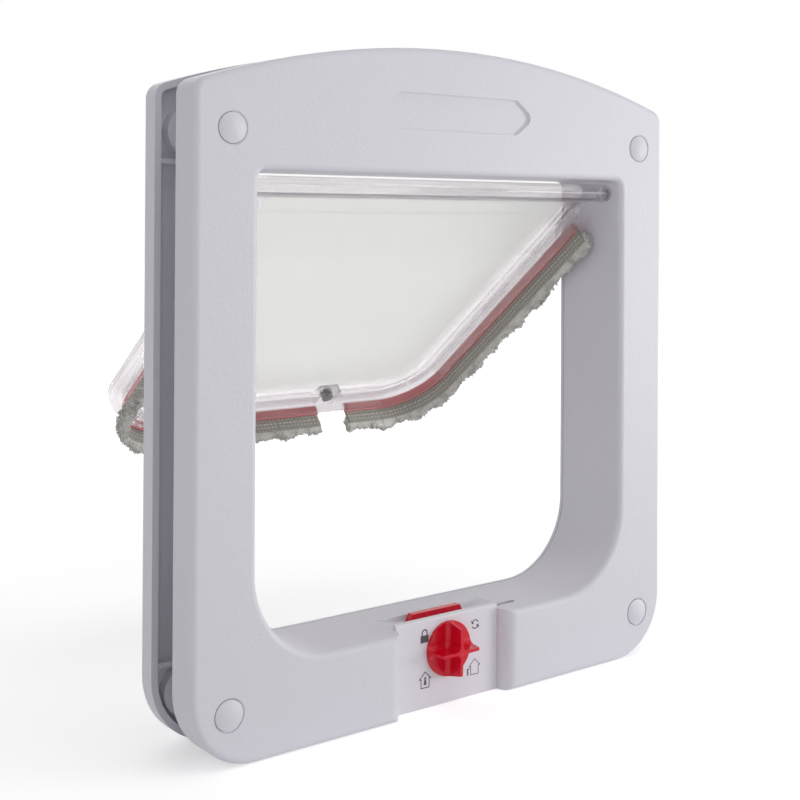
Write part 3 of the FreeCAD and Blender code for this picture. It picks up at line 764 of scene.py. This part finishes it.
class FLAP_OT_tape(FinishOperator, bpy.types.Operator):
    """Weave the tape that carries the pile, with its row of stitches"""
    bl_idname = "catflap.tape"
    bl_label = "Woven tape"

    def execute(self, context):
        colours, sizes = self.settings(context)
        tape, thread = woven_tape(colours, sizes), sewing_thread(colours, sizes)
        for side in ("left", "right"):
            bm = bmesh.new()
            faces = section(
                bm, sizes, inset=2.72 * MM, thickness=0.56 * MM, out_low=-10.4 * MM, out_high=-4.0 * MM,
                segments=16, flatness=0.35,
            )
            sweep_run(bm, side, sizes, faces, inset=3 * MM, pace=1.1 * MM)
            name_run(bm, sizes)
            for vert in bm.verts:
                place = along_run(vert.co, sizes) / (5 * MM)
                vert.co.y += 0.12 * MM * noise.noise(Vector((place, 3.1 if side == "left" else 7.7, 0)))
            hang(bm, sizes)
            woven = finished_object(f"woven_tape_{side}", bm, tape)
            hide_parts(f"brush_tape_{side}")
            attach(woven, "flap")
            self.sew(side, sizes, thread)
        return {"FINISHED"}

    def sew(self, side, sizes, thread):
        """A row of stitches on the tape's inner face, near its free edge."""
        bm = bmesh.new()
        half, drop, corner = sizes.half_width, sizes.drop, sizes.corner
        depth, level = 3.32 * MM, -7.3 * MM
        thread_size = (sizes.stitch / 2, 0.2 * MM, 0.16 * MM)
        down = drop - corner - sizes.seal_top
        round_corner = (corner - depth) * math.pi / 2
        total = down + round_corner + bottom_run(side, sizes)
        pitch = sizes.stitch * 1.35
        for number in range(int(total / pitch)):
            s = (number + 0.5) * pitch
            if s < down:
                x, z, heading = -(half - depth), -sizes.seal_top - s, math.pi / 2
            elif s < down + round_corner:
                turn = (s - down) / (corner - depth)
                x = -(half - corner) - (corner - depth) * math.cos(turn)
                z = -(drop - corner) - (corner - depth) * math.sin(turn)
                heading = math.pi / 2 - turn
            else:
                x, z, heading = -(half - corner) + s - down - round_corner, -(drop - depth), 0.0
            made = bmesh.ops.create_icosphere(bm, subdivisions=1, radius=1.0)["verts"]
            bmesh.ops.scale(bm, vec=thread_size, verts=made)
            bmesh.ops.rotate(bm, cent=(0, 0, 0), matrix=Matrix.Rotation(heading, 3, "Y"), verts=made)
            bmesh.ops.translate(bm, vec=(x, level, z), verts=made)
        if side == "right":
            bmesh.ops.scale(bm, vec=(-1, 1, 1), verts=bm.verts)
            bmesh.ops.recalc_face_normals(bm, faces=bm.faces)
        hang(bm, sizes)
        stitches = finished_object(f"stitches_{side}", bm, thread)
        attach(stitches, "flap")


class FLAP_OT_pile(FinishOperator, bpy.types.Operator):
    """Grow the pile round the flap"""
    bl_idname = "catflap.pile"
    bl_label = "Pile"

    def execute(self, context):
        colours, sizes = self.settings(context)
        wool = wool_pile(colours, sizes)
        for seed, side in ((11, "left"), (47, "right")):
            bm = bmesh.new()
            faces = section(
                bm, sizes, inset=0.5 * MM, thickness=2.3 * MM, out_low=-12.8 * MM, out_high=-6.8 * MM,
                segments=32, flatness=0.75,
            )
            sweep_run(bm, side, sizes, faces, inset=1 * MM, pace=0.9 * MM)
            bm.normal_update()
            grow = bm.verts.layers.float.new("grow")
            for vert in bm.verts:
                free = max(0.0, min(1.0, (2.6 * MM - depth_inside(vert.co, sizes)) / (0.6 * MM)))
                place = vert.co / sizes.pile_lump + Vector((seed, 0, 0))
                lump = noise.fractal(place, 0.9, 2.1, 3)
                curl = noise.noise(vert.co / (1.6 * MM))
                vert.co += vert.normal * sizes.pile_swell * free * (lump + 0.25 * curl)
                vert[grow] = free
            hang(bm, sizes)
            pile = finished_object(f"pile_{side}", bm, wool)
            plant_tufts(pile, sizes, seed, wool)
            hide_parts(f"brush_pile_{side}")
            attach(pile, "flap")
        return {"FINISHED"}


class FLAP_OT_marks(FinishOperator, bpy.types.Operator):
    """Print the four marks round the dial"""
    bl_idname = "catflap.marks"
    bl_label = "Marks on the panel"

    def execute(self, context):
        colours, sizes = self.settings(context)
        ink = pad_ink(colours, sizes)
        places = {
            "mark_locked": (self.padlock, -10.0, -78.0),
            "mark_free": (self.two_arrows, 12.0, -78.0),
            "mark_out_only": (self.house_way_out, 11.2, -92.4),
            "mark_in_only": (self.house_inside, -9.7, -92.6),
        }
        for name, (draw, x, z) in places.items():
            bm = bmesh.new()
            draw(bm)
            bmesh.ops.remove_doubles(bm, verts=bm.verts, dist=1e-6)
            grown = bmesh.ops.extrude_face_region(bm, geom=list(bm.faces))
            lifted = [g for g in grown["geom"] if isinstance(g, bmesh.types.BMVert)]
            bmesh.ops.translate(bm, vec=(0, 0, sizes.ink_height / MM), verts=lifted)
            bmesh.ops.recalc_face_normals(bm, faces=bm.faces)
            put_in_order(bm)
            panel_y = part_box("control_panel")[0].y
            place = Matrix.Translation((x * MM, panel_y + 0.01 * MM, z * MM))
            upright = place @ Matrix.Rotation(math.pi / 2, 4, "X")
            bmesh.ops.transform(bm, matrix=upright @ Matrix.Scale(MM, 4), verts=bm.verts)
            mark = finished_object(name, bm, ink, smooth=False)
            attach(mark, "frame")
        return {"FINISHED"}

    def shape(self, bm, points):
        """A flat face with these corners, in millimetres."""
        return bm.faces.new([bm.verts.new((x, y, 0)) for x, y in points])

    def line_shape(self, bm, points, width):
        """The closed outline of a shape, with one bar of this width for each of its sides."""
        for start, end in zip(points, points[1:] + points[:1]):
            start, end = Vector(start), Vector(end)
            along = (end - start).normalized() * width / 2
            across = Vector((-along.y, along.x))
            first, last = start - along, end + along
            self.shape(bm, [first - across, last - across, last + across, first + across])

    def ring(self, bm, x, y, inner, outer, start, angle, steps=14):
        """Part of a ring, turned from a short edge."""
        ends = [bm.verts.new((x + r * math.cos(start), y + r * math.sin(start), 0)) for r in (inner, outer)]
        edge = bm.edges.new(ends)
        bmesh.ops.spin(
            bm, geom=[edge] + ends, cent=(x, y, 0), axis=(0, 0, 1), dvec=(0, 0, 0), angle=angle, steps=steps,
            use_merge=False, use_duplicate=False,
        )

    def padlock(self, bm):
        self.shape(bm, [(-1.7, -2.2), (1.7, -2.2), (1.7, 0.2), (-1.7, 0.2)])
        self.shape(bm, [(-1.25, 0.2), (-0.8, 0.2), (-0.8, 1.0), (-1.25, 1.0)])
        self.shape(bm, [(0.8, 0.2), (1.25, 0.2), (1.25, 1.0), (0.8, 1.0)])
        self.ring(bm, 0, 1.0, 0.8, 1.25, 0, math.pi)

    def two_arrows(self, bm):
        for turn in (0, math.pi):
            start = turn + math.radians(25)
            self.ring(bm, 0, 0, 1.25, 1.6, start, math.radians(115))
            end = start + math.radians(115)
            tip = end + math.radians(38)
            self.shape(bm, [
                (0.6 * math.cos(end), 0.6 * math.sin(end)), (2.3 * math.cos(end), 2.3 * math.sin(end)),
                (1.45 * math.cos(tip), 1.45 * math.sin(tip)),
            ])

    def house(self, bm, x, width):
        """A house with eaves, drawn as a line."""
        self.line_shape(bm, [
            (x - 1.7, -2.5), (x + 1.7, -2.5), (x + 1.7, 0.4), (x + 2.4, 0.4),
            (x, 2.7), (x - 2.4, 0.4), (x - 1.7, 0.4),
        ], width)

    def house_inside(self, bm):
        self.house(bm, 0, 0.3)
        self.shape(bm, [(-0.6, -1.6), (0.6, -1.6), (0.35, 0.1), (-0.35, 0.1)])
        self.ring(bm, 0, 0.55, 0.0, 0.42, 0, 2 * math.pi - 0.01, 16)

    def house_way_out(self, bm):
        self.house(bm, 0.6, 0.22)
        self.shape(bm, [(-2.7, -2.5), (-2.15, -2.5), (-2.15, -0.2), (-2.7, -0.2)])
        self.shape(bm, [(-2.15, -0.5), (-1.5, -0.5), (-1.5, -0.2), (-2.15, -0.2)])


class FLAP_OT_stage(FinishOperator, bpy.types.Operator):
    """Set the floor, the lights and the camera"""
    bl_idname = "catflap.stage"
    bl_label = "Stage"

    def execute(self, context):
        colours, sizes = self.settings(context)
        stage = context.scene.flap_stage
        context.scene.view_settings.view_transform = "Standard"
        bm = bmesh.new()
        bmesh.ops.create_grid(bm, x_segments=2, y_segments=2, size=4.0)
        bmesh.ops.translate(bm, vec=(0, 0, cad_box[0][2] - 0.02 * MM), verts=bm.verts)
        floor = finished_object("floor", bm, stage_paper(colours, sizes), smooth=False)
        self.light("key_light", stage.key_watts, (0.85, -0.62, 0.02), 0.4)
        self.light("fill_light", stage.fill_watts, (-0.62, -1.05, 0.2), 0.5)
        self.light("top_light", stage.top_watts, (0.15, -0.42, 1.2), 0.8)
        self.light("back_light", stage.back_watts, (0.3, 1.05, 0.65), 0.8)
        self.light("side_light", stage.side_watts, (-1.2, -0.02, 0.02), 0.5)
        self.sky(context, stage)
        self.camera(context, stage)
        return {"FINISHED"}

    def light(self, name, watts, place, size):
        lamp = bpy.data.lights.new(name, "AREA")
        lamp.energy = watts
        lamp.size = size
        made = bpy.data.objects.new(name, lamp)
        made.location = place
        made.rotation_euler = (-Vector(place)).to_track_quat("-Z", "Y").to_euler()
        bpy.context.scene.collection.objects.link(made)

    def sky(self, context, stage):
        """White to the camera, in gloss and in glass, and a plain level of light otherwise."""
        world = bpy.data.worlds.new("studio")
        world.use_nodes = True
        tree = world.node_tree
        tree.nodes.clear()
        seen = seen_rays(tree)
        even = add(tree, "ShaderNodeBackground", {"Color": (1, 1, 1, 1), "Strength": stage.sky})
        white = add(tree, "ShaderNodeBackground", {"Color": (1, 1, 1, 1), "Strength": 1.0})
        both = add(tree, "ShaderNodeMixShader", {0: seen.outputs[0], 1: even.outputs[0], 2: white.outputs[0]})
        add(tree, "ShaderNodeOutputWorld", {"Surface": both.outputs[0]})
        context.scene.world = world

    def camera(self, context, stage):
        lens = bpy.data.cameras.new("camera")
        lens.lens = stage.lens
        lens.sensor_width = 36
        lens.sensor_fit = "HORIZONTAL"
        lens.shift_y = CAMERA_SHIFT
        made = bpy.data.objects.new("camera", lens)
        made.location = CAMERA_PLACE
        heading, pitch, roll = (math.radians(a) for a in (CAMERA_HEADING, CAMERA_PITCH, CAMERA_ROLL))
        made.rotation_euler = (
            Matrix.Rotation(-heading, 3, "Z") @ Matrix.Rotation(math.pi / 2 + pitch, 3, "X")
            @ Matrix.Rotation(roll, 3, "Z")
        ).to_euler()
        bpy.context.scene.collection.objects.link(made)
        context.scene.camera = made


OPERATORS = (
    FLAP_OT_frames, FLAP_OT_metal, FLAP_OT_lock, FLAP_OT_clear_flap, FLAP_OT_tape, FLAP_OT_pile, FLAP_OT_marks,
    FLAP_OT_stage,
)


class FLAP_PT_panel(bpy.types.Panel):
    """Lists the steps that finish the cat flap"""
    bl_idname = "FLAP_PT_panel"
    bl_label = "Cat flap"
    bl_space_type = "VIEW_3D"
    bl_region_type = "UI"
    bl_category = "Cat flap"

    def draw(self, context):
        for operator in OPERATORS:
            self.layout.operator(operator.bl_idname)
        for group in (context.scene.flap_sizes, context.scene.flap_colours, context.scene.flap_stage):
            column = self.layout.column()
            for key in group.__annotations__:
                column.prop(group, key)


CLASSES = (FlapColours, FlapSizes, FlapStage, *OPERATORS, FLAP_PT_panel)


def register():
    for cls in CLASSES:
        bpy.utils.register_class(cls)
    bpy.types.Scene.flap_colours = PointerProperty(type=FlapColours)
    bpy.types.Scene.flap_sizes = PointerProperty(type=FlapSizes)
    bpy.types.Scene.flap_stage = PointerProperty(type=FlapStage)


def unregister():
    del bpy.types.Scene.flap_stage
    del bpy.types.Scene.flap_sizes
    del bpy.types.Scene.flap_colours
    for cls in reversed(CLASSES):
        bpy.utils.unregister_class(cls)


def main():
    register()
    bpy.ops.catflap.frames()
    bpy.ops.catflap.metal()
    bpy.ops.catflap.lock()
    bpy.ops.catflap.clear_flap()
    bpy.ops.catflap.tape()
    bpy.ops.catflap.pile()
    bpy.ops.catflap.marks()
    bpy.ops.catflap.stage()


if __name__ == "__main__":
    main()
